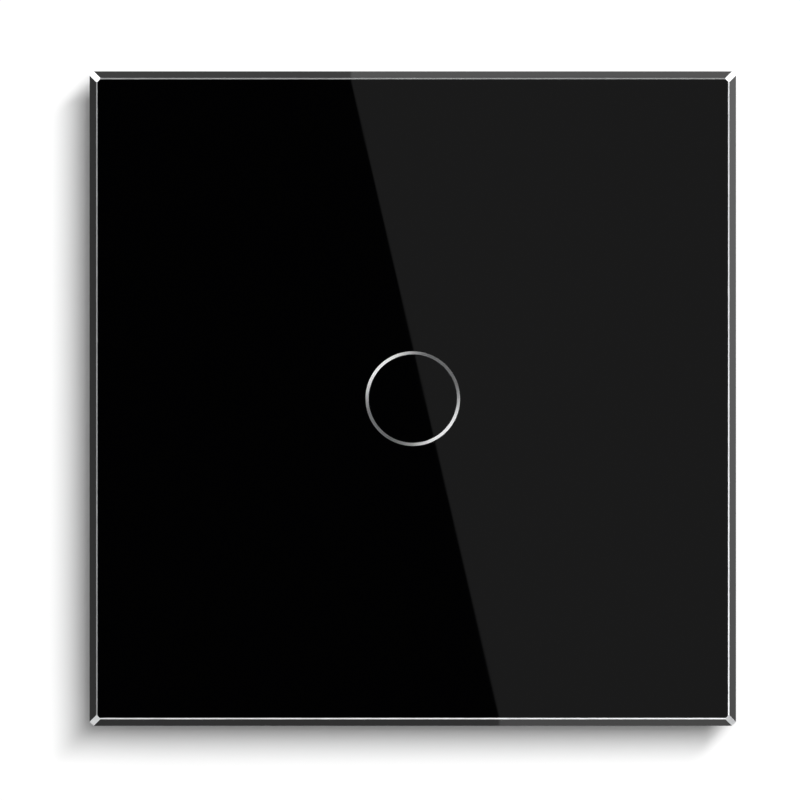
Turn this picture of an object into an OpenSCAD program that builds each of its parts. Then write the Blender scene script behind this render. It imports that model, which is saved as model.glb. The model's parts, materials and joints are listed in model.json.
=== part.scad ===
// Touch light switch for a 60 mm flush wall box: a bevelled glass panel on a clip-on
// frame, a touch module, a base frame on a steel strap, and a rear housing that holds
// the power board, a relay and three rising-cage terminals.
// Millimetres. The front faces -Y, +Z is up, and the wall is the plane Y = 0.

/* [Glass panel] */
// Width of the glass
panel_w = 80; // [76:0.5:90]
// Height of the glass
panel_h = 81; // [76:0.5:90]
// Thickness of the glass
glass_t = 4; // [3:0.5:6]
// Width of the polished bevel, seen from the front
bevel_w = 0.85; // [0.4:0.05:2]
// Depth of the bevel
bevel_d = 0.9; // [0.4:0.05:2]
// Width of the ground arris between bevel and face
arris_w = 0.16; // [0.1:0.02:0.4]
// Depth of that arris
arris_d = 0.06; // [0.04:0.02:0.2]
// Ground edge at the back of the glass
back_arris = 0.3; // [0.1:0.1:0.8]
// Leg of the flat on each vertical corner
corner_flat = 0.5; // [0.2:0.1:1.5]
// Leg that the sloped corner facet takes off the face
corner_dub = 0.3; // [0.1:0.1:1]
// Outer diameter of the silver ring
ring_d = 11.7; // [9:0.1:16]
// Width of the silver ring
ring_w = 0.38; // [0.3:0.02:1]
// Depth of the ring in the glass
ring_depth = 0.3; // [0.2:0.1:1]
// Thickness of the black back print
print_t = 0.1; // [0.05:0.05:0.3]
// Clear margin of glass around the print
print_inset = 0.4; // [0.2:0.1:1]

/* [Panel frame] */
// Inset of the frame from the edge of the glass
frame_inset = 0.9; // [0.5:0.1:1.2]
// Thickness of the frame's outer wall
frame_wall = 1.5; // [1.2:0.1:1.6]
// Thickness of the web that the glass is bonded to
web_t = 1.2; // [1:0.1:2]
// Width of that web
web_w = 9; // [6:0.5:11]
// Gap between the frame and the wall
frame_gap = 0.3; // [0.2:0.1:1]
// Thickness of the adhesive gasket
bond_t = 0.3; // [0.2:0.1:0.8]
// Width of the adhesive gasket
bond_w = 5; // [3:0.5:7]
// Margin of web outside the gasket
bond_inset = 0.8; // [0.4:0.1:1.5]
// Width of a snap tab
tab_w = 10; // [6:1:14]
// Thickness of a snap tab
tab_t = 1; // [0.8:0.1:1.2]
// Distance of a snap tab from the middle
tab_x = 17; // [12:1:24]
// Play between a snap tab and the base frame
tab_play = 0.4; // [0.35:0.05:0.5]
// Height of the barb on a snap tab
barb_h = 0.25; // [0.15:0.05:0.3]
// Height of the barb's peak above the tab's foot
tab_barb_z = 0.6; // [0.4:0.1:0.8]
// Cut across the corners of the frame, the gasket and the cover
frame_cut = 1; // [0.6:0.1:1.5]
// Width of the notch for prising the panel off
pry_w = 14; // [8:1:20]
// Depth of that notch
pry_d = 1.4; // [0.8:0.2:2]

/* [Base frame and strap] */
// Inset of the base frame from the edge of the glass
base_inset = 4; // [3.9:0.1:5]
// Thickness of the base plate
plate_t = 2; // [1.6:0.1:3]
// Cut across the corners of the base frame and the strap
base_cut = 2; // [1:0.5:3]
// Width of a notch for the head of a box screw
head_notch_w = 9; // [8:0.5:12]
// Land between that notch and the wall around the touch module
notch_land = 1; // [0.8:0.1:1.6]
// Wall of plastic around a screw in the base frame
screw_wall = 1.4; // [1.2:0.1:1.6]
// Thickness of the wall around the touch module
tray_wall = 1.8; // [1.2:0.1:2.4]
// Height of the posts that carry the touch board
post_h = 1.3; // [1.1:0.1:2]
// Window in the base plate for the board connector
window_w = 28; // [22:1:28]
// Thickness of the steel strap
strap_t = 1.2; // [1:0.1:2]
// Inset of the strap from the edge of the base frame
strap_inset = 0.5; // [0.3:0.1:1.5]
// Gap between the strap and the housing
strap_fit = 0.6; // [0.4:0.1:0.8]
// Pitch of the box screws
slot_pitch = 60; // [58:0.5:62]
// Length of a box-screw slot
slot_l = 7; // [5:0.5:7.5]
// Width of a box-screw slot
slot_w = 3.6; // [3.2:0.1:4.5]
// Distance of a strap screw from the middle, both ways
strap_screw_x = 29; // [28:0.5:31]
// Radius of a strap screw's head
strap_head_r = 2.3; // [2:0.1:2.6]
// Radius of a strap screw's shank
strap_shank_r = 1.2; // [1:0.1:1.4]
// Height of the posts that take the strap screws
strap_post_h = 1.6; // [1:0.1:1.8]
// Width of the triangle in the strap that points up
arrow_w = 3; // [2:0.5:4]
// Height of that triangle
arrow_h = 2.7; // [2:0.1:3.5]
// Distance of that triangle from a strap screw
arrow_gap = 9; // [8:0.5:12]

/* [Touch module] */
// Width and height of the touch cover
cover_w = 46; // [44:0.5:48]
// Thickness of the cover's face
cover_t = 1; // [0.8:0.1:1.6]
// Thickness of the cover's skirt
skirt_t = 1.4; // [1:0.1:2]
// Play between the cover and the wall around it
cover_play = 0.2; // [0.1:0.05:0.4]
// Step from the wall around it up to the cover's face
cover_step = 0.3; // [0.1:0.1:0.6]
// Gap between the cover and the back of the panel
touch_gap = 0.2; // [0.1:0.05:0.5]
// Inset of a cover screw from the cover's edge
cover_screw_inset = 3; // [2.8:0.1:3.5]
// Wall of plastic around a cover screw's head
post_wall = 0.7; // [0.6:0.1:0.9]
// Radius of a cover screw's head
cover_head_r = 1.7; // [1.5:0.1:2]
// Radius of a cover screw's shank
cover_shank_r = 0.9; // [0.8:0.1:1.1]
// Thickness of the touch board
touch_pcb_t = 1; // [0.8:0.1:1.6]
// Play between the touch board and the skirt
touch_pcb_play = 0.3; // [0.1:0.1:0.6]
// Thickness of the copper pads
pad_t = 0.1; // [0.05:0.05:0.2]
// Outer radius of the outer copper pad
pad_r = 9; // [7.5:0.5:11]
// Width of the light guide ring
guide_w = 1; // [0.8:0.1:1.4]
// Gap between the light guide and the copper pads
guide_gap = 0.3; // [0.2:0.1:0.6]
// Skin of the cover in front of the light guide
guide_skin = 0.4; // [0.3:0.1:0.6]
// Inset of a light guide's foot from the edges of its ring
guide_foot_inset = 0.1; // [0.05:0.05:0.2]
// Length of an indicator LED
led_l = 3; // [2.4:0.2:4]
// Width of an indicator LED
led_w = 1.6; // [1.4:0.1:2]
// Height of an indicator LED
led_h = 0.8; // [0.6:0.1:1]
// Length of the touch chip
chip_l = 8.7; // [5:0.1:10]
// Width of a chip's body
chip_w = 3.9; // [3:0.1:5]
// Height of a chip
chip_h = 1.5; // [1.2:0.1:1.8]
// Width of a chip's lead
chip_lead_w = 0.4; // [0.3:0.05:0.5]
// Length of a chip's lead
chip_lead_l = 0.9; // [0.6:0.1:1.2]
// Thickness of a chip's lead
chip_lead_t = 0.3; // [0.2:0.05:0.4]
// Pitch of a chip's leads
chip_lead_pitch = 1.27; // [1:0.01:1.27]
// Number of connector pins
pins = 6; // [4:1:8]
// Pitch of the connector pins
pin_pitch = 2.54; // [2:0.02:2.54]
// Thickness of a connector pin
pin_t = 0.64; // [0.5:0.02:0.7]
// Depth of the connector's mouldings
header_w = 2.5; // [2.2:0.1:3]
// Height of the pin header's moulding
header_h = 2.5; // [2:0.1:3]
// Gap between the tip of a pin and the power board
pin_tip_gap = 1; // [0.6:0.1:2]
// Height of the header socket
socket_h = 8.5; // [6:0.5:9]
// Distance of the connector below the middle
header_drop = 9; // [8:0.5:10]

/* [Housing and power board] */
// Thickness of the housing's walls
housing_wall = 1.6; // [1.2:0.1:2]
// Cut across the housing's corners
housing_cut = 9; // [7:0.5:10]
// Ledge of the housing between the terminals and the deep part
shelf = 0.8; // [0.4:0.1:2]
// Distance of a housing screw from the housing's sides
pillar_inset = 7; // [6.5:0.1:8]
// Radius of a housing screw's pillar
pillar_r = 3.3; // [3:0.1:3.4]
// Radius of a housing screw's head
housing_head_r = 2.3; // [2:0.1:2.4]
// Height of a housing screw's head
housing_head_h = 1.6; // [1.2:0.1:2]
// Radius of a housing screw's shank
housing_shank_r = 1.2; // [1:0.1:1.3]
// Depth of a housing screw's head below the step
housing_head_sunk = 2.4; // [2:0.1:4]
// Width of the ledges that carry the power board
ledge_w = 1.2; // [0.8:0.1:1.6]
// Length of those ledges
ledge_l = 14; // [8:1:16]
// Thickness of the power board
power_pcb_t = 1.6; // [1:0.1:2]
// Play around the power board
power_pcb_play = 0.4; // [0.2:0.1:0.6]
// Gap between neighbours on the power board
part_gap = 0.6; // [0.4:0.1:1]
// Ribs on each side of the housing
ribs = 5; // [2:1:6]
// Distance between ribs
rib_pitch = 4; // [3:0.5:4.5]
// Width of a rib
rib_w = 1; // [0.6:0.1:1.4]
// Gap between the ribs and the strap, which the housing passes through
rib_gap = 0.1; // [0.05:0.05:0.2]
// Distance of the ribs from the wall and from the housing's back
rib_end = 2; // [1:0.5:4]
// Vent slits on each side of the middle of the housing's top
vents = 3; // [1:1:3]
// Distance between vent slits
vent_pitch = 2.2; // [1.8:0.1:2.4]
// Width of a vent slit
vent_w = 1; // [0.6:0.1:1.2]
// Length of a vent slit
vent_l = 9; // [5:0.5:10]
// Width of the bare label recess
label_w = 26; // [16:1:28]
// Height of the bare label recess
label_h = 15; // [10:1:20]
// Depth of the label recess and of the wire gauge
recess_d = 0.6; // [0.2:0.1:0.8]
// Length of the wire stripping gauge
gauge_l = 8; // [6:0.5:10]
// Width of the wire stripping gauge
gauge_w = 1.6; // [1:0.1:2.4]
// Length of the film capacitor
film_l = 18; // [13:0.5:20]
// Width of the film capacitor
film_w = 7; // [5:0.5:9]
// Height of the film capacitor
film_h = 12; // [9:0.5:14]
// Diameter of the bulk capacitor
bulk_d = 8; // [6.3:0.1:10]
// Height of the bulk capacitor
bulk_h = 11.5; // [9:0.5:14]
// Height of the bulk capacitor's crimp above the board
crimp_z = 1; // [0.8:0.1:1.5]
// Depth of that crimp, and cut of the can's far edge
crimp_d = 0.35; // [0.2:0.05:0.5]
// Diameter of the varistor disc
varistor_d = 9; // [7:0.5:10]
// Thickness of the varistor disc
varistor_t = 3.6; // [3:0.1:5]
// Length of the varistor's leads
varistor_lead = 1.6; // [1:0.1:3]
// Radius of the varistor's leads
varistor_lead_r = 0.35; // [0.25:0.05:0.5]
// Diameter of the fuse
fuse_d = 8.4; // [7:0.1:8.6]
// Height of the fuse
fuse_h = 7.7; // [6:0.1:9]
// Diameter of the choke
choke_d = 8; // [6:0.5:9]
// Height of the choke
choke_h = 9; // [7:0.5:12]
// Thickness of the choke's flanges
choke_flange = 1.2; // [0.8:0.1:2]
// Depth of the choke's winding below its flanges
choke_waist = 0.6; // [0.3:0.1:1.2]
// Side of the rectifier
rectifier_w = 4.4; // [4:0.1:5]

/* [Relay] */
// Length of the relay
relay_l = 20; // [19:0.5:22]
// Width of the relay
relay_w = 10.4; // [10.2:0.2:12]
// Thickness of the relay's case
case_t = 0.7; // [0.5:0.1:1]
// Thickness of the relay's base
relay_base_t = 1.5; // [1:0.1:2]
// Thickness of the yoke and the armature
iron_t = 1; // [0.8:0.1:1.4]
// Inset of the yoke from the case
yoke_inset = 1.2; // [0.6:0.1:2]
// Gap between the yoke and the coil
coil_gap = 0.4; // [0.3:0.1:0.6]
// Radius of the coil
coil_r = 4; // [3.4:0.1:4.2]
// Height of the coil
coil_h = 7.2; // [6:0.2:9]
// Radius of the iron core
core_r = 1.7; // [1.2:0.1:2]
// Radius of the pole face
pole_r = 3; // [2.4:0.1:3.4]
// Thickness of the pole face
pole_t = 0.8; // [0.6:0.1:1.2]
// Gap between the pole face and the open armature
pole_gap = 0.55; // [0.5:0.05:0.7]
// Width of the armature
armature_w = 6; // [5:0.5:7]
// How far the armature runs past the pole face
armature_over = 1; // [0.5:0.1:1.2]
// Angle through which the armature closes
armature_angle = 3; // [2:0.1:3.2]
// Thickness of the contact spring
spring_t = 0.25; // [0.2:0.05:0.4]
// Width of the contact spring
spring_w = 4; // [3:0.5:5]
// Thickness of the fixed contact's blade
blade_t = 0.5; // [0.4:0.1:0.8]
// Room between the contacts and the end of the case
contact_room = 1.8; // [1.6:0.1:2.4]
// Room between the contact spring and the top of the case
relay_headroom = 1; // [0.6:0.1:1.5]
// Radius of a contact rivet
rivet_r = 1.2; // [0.8:0.1:1.4]
// Height of a contact rivet
rivet_h = 0.7; // [0.5:0.1:1]
// Margin of metal around a contact rivet
rivet_edge = 0.3; // [0.2:0.1:0.5]

/* [Terminals] */
// Width of a terminal block, and pitch of the terminals
block_w = 8; // [7.6:0.1:8.4]
// Length of a terminal block along the wire
block_l = 11.2; // [10.6:0.2:13]
// Thickness of the wall that the wire goes through
entry_wall = 1.8; // [1.4:0.1:2]
// Thickness of the block's other walls
block_wall = 0.7; // [0.5:0.1:0.8]
// Radius of a wire entry
entry_r = 1.3; // [1:0.1:1.4]
// Depth of a terminal screw's head below the block's face
screw_sunk = 0.4; // [0.2:0.1:1]
// Radius of a terminal screw's head
screw_head_r = 2.6; // [2.2:0.1:2.8]
// Height of a terminal screw's head
screw_head_h = 1.5; // [1.2:0.1:2]
// Radius of a terminal screw's shank
screw_r = 1.5; // [1.25:0.05:1.6]
// Thickness of the shoulder that holds the screw's head
shoulder_t = 1.2; // [0.8:0.1:1.6]
// Travel of a cage
cage_travel = 2; // [1.5:0.1:2.4]
// Thickness of a cage's plates
cage_t = 1; // [0.8:0.1:1.2]
// Thickness of a cage's sides
cage_side = 0.8; // [0.6:0.1:1]
// Length of a cage along the wire
cage_l = 6.2; // [5.6:0.1:6.4]
// Play around a cage
cage_play = 0.2; // [0.15:0.05:0.3]
// Gap between a cage and the wall that the wire goes through
cage_gap = 0.3; // [0.2:0.05:0.5]
// Gap between a cage and the leg of its bar
leg_gap = 0.4; // [0.3:0.05:0.5]
// Room for the wire in an open cage
wire_room = 2.8; // [2.6:0.1:3.2]
// Thickness of a terminal bar
bar_t = 1; // [0.8:0.1:1.2]
// Gap between a cage and the power board
cage_clear = 0.8; // [0.6:0.1:1.2]

/* [Fits and screws] */
// Radial play of a screw, core or pin in the hole that holds it
fit = 0.03; // [0.02:0.01:0.05]
// Radial play of a screw in a hole that it passes through
hole_play = 0.25; // [0.2:0.05:0.3]
// Least gap between flat faces that move past each other
run_gap = 0.1; // [0.05:0.01:0.12]
// Plastic past a blind hole, and room between its end and the screw's tip
tip_gap = 0.2; // [0.15:0.05:0.3]
// Width of a screw's driving slot
drive_slot_w = 0.7; // [0.5:0.1:0.9]
// Depth of a screw's driving slot
drive_depth = 0.6; // [0.4:0.1:0.8]
// Share of a screw head's radius that the driving recess takes
drive_reach = 0.7; // [0.5:0.05:0.8]
// Edge break at the back of the panel frame, the housing and the terminal blocks
edge_ease = 0.5; // [0.3:0.1:0.6]

/* [Hidden] */
$fn = 48;

// How far a cutting shape runs past the face it cuts
cut_over = 1;
root2 = sqrt(2);

// Levels in front of the wall, from the strap to the face of the glass
z_plate = strap_t + plate_t;
z_board = z_plate + post_h;
z_board_front = z_board + touch_pcb_t;
z_cover = z_board_front + pad_t;
z_cover_front = z_cover + cover_t;
z_print = z_cover_front + touch_gap;
z_glass = z_print + print_t;
z_frame = z_print - bond_t;
z_web = z_frame - web_t;

// Widths and heights of the panel frame, the base frame and the strap
frame_w = panel_w - 2 * frame_inset;
frame_h = panel_h - 2 * frame_inset;
base_w = panel_w - 2 * base_inset;
base_h = panel_h - 2 * base_inset;
strap_w = base_w - 2 * strap_inset;
strap_h = base_h - 2 * strap_inset;
tray_in = cover_w + 2 * cover_play;
tray_w = tray_in + 2 * tray_wall;
tab_foot = frame_gap + run_gap;

// The light guide lies just inside the silver ring
guide_r = ring_d / 2 - ring_w;
guide_in = guide_r - guide_w;
guide_mid = guide_r - guide_w / 2;
guide_foot_r = guide_w / 2 - guide_foot_inset;
touch_pcb_w = cover_w - 2 * skirt_t - 2 * touch_pcb_play;
cover_post_r = cover_head_r + post_wall;
cover_screw_r = cover_w / 2 - cover_screw_inset;
cover_screw_end = strap_t + 2 * tip_gap;

// Levels behind the wall, down to the back of the housing
z_header = z_board - header_h;
z_power = z_header - socket_h;
z_power_back = z_power - power_pcb_t;
foot_top = relay_base_t + iron_t;
pole_top = foot_top + coil_h + pole_t;
armature_low = pole_top + pole_gap;
spring_low = armature_low + iron_t;
relay_h = spring_low + spring_t + relay_headroom + case_t;
block_d = cage_clear + cage_t + wire_room + bar_t + cage_t + 2 * run_gap + cage_travel
    + shoulder_t + run_gap + screw_head_h + screw_sunk;
z_step = z_power_back - block_d;
z_back = z_power_back - max(relay_h, film_h, bulk_h) - part_gap - housing_wall;

// The power board's rows, from the terminals up, set the housing's height
row_gaps = 5;
row_1 = max(fuse_d, choke_d);
row_2 = max(relay_w, film_w);
row_3 = max(bulk_d, varistor_t);
housing_in = max(relay_l, film_l) + 2 * part_gap + ledge_w;
housing_w = 2 * (housing_in + housing_wall);
housing_h = block_l + shelf + row_1 + row_2 + row_3 + row_gaps * part_gap + ledge_w
    + 2 * housing_wall;
y_low = -housing_h / 2;
y_block = y_low + block_l;
y_step = y_block + shelf;
y_row_1 = y_step + housing_wall + part_gap;
y_row_2 = y_row_1 + row_1 + part_gap;
y_row_3 = y_row_2 + row_2 + part_gap;
inner_cut = housing_cut - housing_wall * (2 - root2);
rib_h = strap_fit - rib_gap;
power_pcb_inset = housing_wall + power_pcb_play;
pillar_x = housing_w / 2 - pillar_inset;
pillar_y = housing_h / 2 - pillar_inset;
z_seat = z_step + housing_head_sunk;
housing_screw_l = z_board - 2 * tip_gap - z_seat;

// The relay lies along its row, with its left end by the ledge
relay_x = -relay_l - part_gap / 2;
relay_y = y_row_2 + relay_w / 2;
hinge_u = case_t + yoke_inset + iron_t / 2;
coil_u = case_t + yoke_inset + iron_t + coil_gap + coil_r;
rivet_u = relay_l - case_t - contact_room - rivet_r;
contact_drop = (rivet_u - hinge_u) * tan(armature_angle) + run_gap;
armature_l = coil_u + pole_r + armature_over - case_t - yoke_inset;

// A terminal's levels, measured from the power board towards the back
cage_low = cage_clear;
wire_low = cage_low + cage_t;
bar_low = wire_low + wire_room;
bar_high = bar_low + bar_t;
cage_top = bar_high + run_gap;
bay_end = cage_top + cage_t + cage_travel + run_gap;
seat_level = bay_end + shoulder_t;
head_level = seat_level + run_gap;
entry_level = wire_low + wire_room / 2;
terminals = 3;
blocks_w = terminals * block_w;
bay_w = block_w - 2 * block_wall;
cage_w = bay_w - 2 * cage_play;
bar_w = cage_w - 2 * cage_side - 2 * cage_play;
bay_y = y_low + entry_wall;
cage_y = bay_y + cage_gap;
screw_y = cage_y + cage_l / 2;
bar_leg_y = cage_y + cage_l + leg_gap;
function terminal_x(i) = (i - (terminals + 1) / 2) * block_w;

// Outlines and plain shapes, drawn with +Z out of the wall and +Y up
function cut_rect(w, h, c) = [
    [w / 2 - c, -h / 2], [w / 2, -h / 2 + c], [w / 2, h / 2 - c], [w / 2 - c, h / 2],
    [-w / 2 + c, h / 2], [-w / 2, h / 2 - c], [-w / 2, -h / 2 + c], [-w / 2 + c, -h / 2]
];

function edge_profile(half) = [
    [-half + back_arris, 0], [half - back_arris, 0], [half, back_arris],
    [half, glass_t - bevel_d - arris_d], [half - bevel_w, glass_t - arris_d],
    [half - bevel_w - arris_w, glass_t], [-half + bevel_w + arris_w, glass_t],
    [-half + bevel_w, glass_t - arris_d], [-half, glass_t - bevel_d - arris_d],
    [-half, back_arris]
];

function corner_profile(half, top) = [
    [-half, 0], [half, 0], [half, glass_t - bevel_d - arris_d],
    [top, glass_t], [-top, glass_t], [-half, glass_t - bevel_d - arris_d]
];

function eased_profile(half, z0, z1) = [
    [-half + edge_ease, z0], [half - edge_ease, z0], [half, z0 + edge_ease],
    [half, z1], [-half, z1], [-half, z0 + edge_ease]
];

module on_wall() rotate([90, 0, 0]) children();

module slab(w, h, c, z0, z1)
    translate([0, 0, z0])
        linear_extrude(z1 - z0)
            polygon(cut_rect(w, h, c));

// A prism with an upright profile, centred on the origin and turned about Z
module prism(turn, length, profile)
    rotate([90, 0, turn])
        linear_extrude(length, center = true)
            polygon(profile);

// A slab whose lower edges are broken
module eased_slab(w, h, c, z0, z1) {
    corner = ((w + h) / 2 - c) / root2;
    intersection() {
        prism(0, w + h, eased_profile(w / 2, z0, z1));
        prism(90, w + h, eased_profile(h / 2, z0, z1));
        prism(45, w + h, eased_profile(corner, z0, z1));
        prism(-45, w + h, eased_profile(corner, z0, z1));
    }
}

module block(x, y, z)
    translate([min(x), min(y), min(z)])
        cube([max(x) - min(x), max(y) - min(y), max(z) - min(z)]);

module rod(at, r, z0, z1)
    translate([at[0], at[1], z0])
        cylinder(r = r, h = z1 - z0);

module tube(outer, inner, z0, z1)
    difference() {
        rod([0, 0], outer, z0, z1);
        rod([0, 0], inner, z0 - cut_over, z1 + cut_over);
    }

module four(x, y)
    for (sx = [-1, 1], sy = [-1, 1])
        translate([sx * x, sy * y, 0])
            children();

// A cross-shaped driving recess, cut downwards from the plane Z = 0
module cross_recess(r)
    for (turn = [0, 90])
        rotate(turn)
            translate([-r, -drive_slot_w / 2, -drive_depth])
                cube([2 * r, drive_slot_w, drive_depth + cut_over]);

// A countersunk screw with its head flush with the plane Z = 0 and its shank below
module flush_screw(head_r, shank_r, length)
    difference() {
        union() {
            translate([0, 0, shank_r - head_r])
                cylinder(r1 = shank_r, r2 = head_r, h = head_r - shank_r);
            rod([0, 0], shank_r, -length, shank_r - head_r);
        }
        cross_recess(head_r * drive_reach);
    }

// The hole for such a screw
module flush_hole(head_r, shank_r, length) {
    translate([0, 0, shank_r - head_r])
        cylinder(r1 = shank_r + fit, r2 = head_r + fit, h = head_r - shank_r);
    rod([0, 0], head_r + fit, 0, cut_over);
    rod([0, 0], shank_r + fit, -length - fit, 0);
}

// A chip with its leads, lying on the plane Z = 0
module small_chip(length) {
    leads = floor(length / chip_lead_pitch);
    reach = chip_w / 2 + chip_lead_l;
    block([-length / 2, length / 2], [-chip_w / 2, chip_w / 2], [0, chip_h]);
    for (i = [0 : leads - 1])
        translate([(i - (leads - 1) / 2) * chip_lead_pitch, 0, 0])
            block([-chip_lead_w / 2, chip_lead_w / 2], [-reach, reach], [0, chip_lead_t]);
}

// Front panel
module glass_blank() {
    half_sum = (panel_w + panel_h) / 2;
    half = (half_sum - corner_flat) / root2;
    top = (half_sum - 2 * (bevel_w + arris_w) - corner_dub) / root2;
    across = panel_w + panel_h;
    intersection() {
        prism(0, across, edge_profile(panel_w / 2));
        prism(90, across, edge_profile(panel_h / 2));
        prism(45, across, corner_profile(half, top));
        prism(-45, across, corner_profile(half, top));
    }
}

module glass_panel()
    color([0.02, 0.02, 0.02])
        on_wall()
            translate([0, 0, z_glass])
                difference() {
                    glass_blank();
                    tube(ring_d / 2 + fit, ring_d / 2 - ring_w - fit,
                        glass_t - ring_depth, glass_t + cut_over);
                }

module touch_ring()
    color("silver")
        on_wall()
            translate([0, 0, z_glass])
                tube(ring_d / 2, ring_d / 2 - ring_w, glass_t - ring_depth, glass_t);

// The print leaves a ring-shaped window in front of the light guide
module black_print()
    color([0.05, 0.05, 0.05])
        on_wall()
            difference() {
                slab(panel_w - 2 * print_inset, panel_h - 2 * print_inset, corner_flat + print_inset,
                    z_print, z_glass);
                tube(guide_r, guide_in, z_print - cut_over, z_glass + cut_over);
            }

module adhesive_gasket()
    color([0.15, 0.15, 0.15])
        on_wall() {
            w = frame_w - 2 * bond_inset;
            h = frame_h - 2 * bond_inset;
            difference() {
                slab(w, h, frame_cut, z_frame, z_print);
                slab(w - 2 * bond_w, h - 2 * bond_w, frame_cut, z_frame - cut_over, z_print + cut_over);
            }
        }

// A tab hangs from the web beside the base frame's edge and has a barb at its foot
module snap_tab() {
    y_in = base_h / 2 + tab_play;
    block([-tab_w / 2, tab_w / 2], [y_in, y_in + tab_t], [tab_foot, z_frame]);
    translate([-tab_w / 2, 0, 0])
        rotate([90, 0, 90])
            linear_extrude(tab_w)
                polygon([[y_in, tab_foot], [y_in - barb_h, tab_foot + tab_barb_z],
                    [y_in, tab_foot + 2 * tab_barb_z]]);
}

module panel_frame()
    color([0.08, 0.08, 0.08])
        on_wall()
            difference() {
                union() {
                    difference() {
                        eased_slab(frame_w, frame_h, frame_cut, frame_gap, z_frame);
                        slab(frame_w - 2 * frame_wall, frame_h - 2 * frame_wall, frame_cut,
                            frame_gap - cut_over, z_web);
                        slab(frame_w - 2 * web_w, frame_h - 2 * web_w, frame_cut,
                            z_web - cut_over, z_frame + cut_over);
                    }
                    for (side = [-1, 1], flip = [0, 1])
                        mirror([0, flip, 0])
                            translate([side * tab_x, 0, 0])
                                snap_tab();
                }
                block([-pry_w / 2, pry_w / 2],
                    [-frame_h / 2 - cut_over, -frame_h / 2 + frame_wall + run_gap],
                    [frame_gap - cut_over, frame_gap + pry_d]);
            }

// Touch module
module touch_cover()
    color([0.85, 0.86, 0.87])
        on_wall()
            difference() {
                union() {
                    slab(cover_w, cover_w, frame_cut, z_cover, z_cover_front);
                    difference() {
                        slab(cover_w, cover_w, frame_cut, z_board, z_cover_front);
                        slab(cover_w - 2 * skirt_t, cover_w - 2 * skirt_t, frame_cut,
                            z_board - cut_over, z_cover);
                    }
                    for (turn = [0 : 90 : 270])
                        rotate(turn)
                            rod([cover_screw_r, 0], cover_post_r, z_board, z_cover_front);
                }
                for (turn = [0 : 90 : 270])
                    rotate(turn)
                        translate([cover_screw_r, 0, z_cover_front])
                            flush_hole(cover_head_r, cover_shank_r, z_cover_front - z_board + cut_over);
                tube(guide_r + run_gap, guide_in - run_gap, z_cover - cut_over, z_cover_front - guide_skin);
            }

module cover_screws()
    color("silver")
        on_wall()
            for (turn = [0 : 90 : 270])
                rotate(turn)
                    translate([cover_screw_r, 0, z_cover_front])
                        flush_screw(cover_head_r, cover_shank_r, z_cover_front - cover_screw_end);

module guide_feet(r, z0, z1)
    for (turn = [45 : 90 : 315])
        rotate(turn)
            rod([guide_mid, 0], r, z0, z1);

module light_guide()
    color([0.9, 0.95, 1])
        on_wall() {
            tube(guide_r, guide_in, z_board_front, z_cover_front - guide_skin - run_gap);
            guide_feet(guide_foot_r, z_board + run_gap, z_cover);
        }

module touch_pcb()
    color([0.05, 0.3, 0.12])
        on_wall()
            difference() {
                slab(touch_pcb_w, touch_pcb_w, frame_cut, z_board, z_board_front);
                for (turn = [0 : 90 : 270])
                    rotate(turn)
                        rod([cover_screw_r, 0], cover_post_r + touch_pcb_play, z_board - cut_over,
                            z_board_front + cut_over);
                guide_feet(guide_foot_r + run_gap, z_board - cut_over, z_board_front + cut_over);
            }

module touch_pads()
    color([0.75, 0.45, 0.2])
        on_wall() {
            rod([0, 0], guide_in - guide_gap, z_board_front, z_cover);
            tube(pad_r, guide_r + guide_gap, z_board_front, z_cover);
        }

module indicator_leds()
    color([0.95, 0.95, 0.85])
        on_wall()
            for (turn = [45 : 90 : 315])
                rotate(turn)
                    block([guide_mid - led_w / 2, guide_mid + led_w / 2], [-led_l / 2, led_l / 2],
                        [z_board - led_h, z_board]);

module touch_chip()
    color([0.12, 0.12, 0.12])
        on_wall()
            translate([0, header_drop, z_board])
                mirror([0, 0, 1])
                    small_chip(chip_l);

module at_pins()
    for (i = [0 : pins - 1])
        translate([(i - (pins - 1) / 2) * pin_pitch, -header_drop, 0])
            children();

module pin_column(half, z0, z1)
    block([-half, half], [-half, half], [z0, z1]);

module connector_body(z0, z1)
    translate([0, -header_drop, 0])
        block([-pins * pin_pitch / 2, pins * pin_pitch / 2], [-header_w / 2, header_w / 2], [z0, z1]);

module pin_header()
    color([0.1, 0.1, 0.1])
        on_wall()
            difference() {
                connector_body(z_header, z_board);
                at_pins()
                    pin_column(pin_t / 2 + fit, z_header - cut_over, z_board + cut_over);
            }

module header_pins()
    color("gold")
        on_wall()
            at_pins()
                pin_column(pin_t / 2, z_power + pin_tip_gap, z_board);

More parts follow.
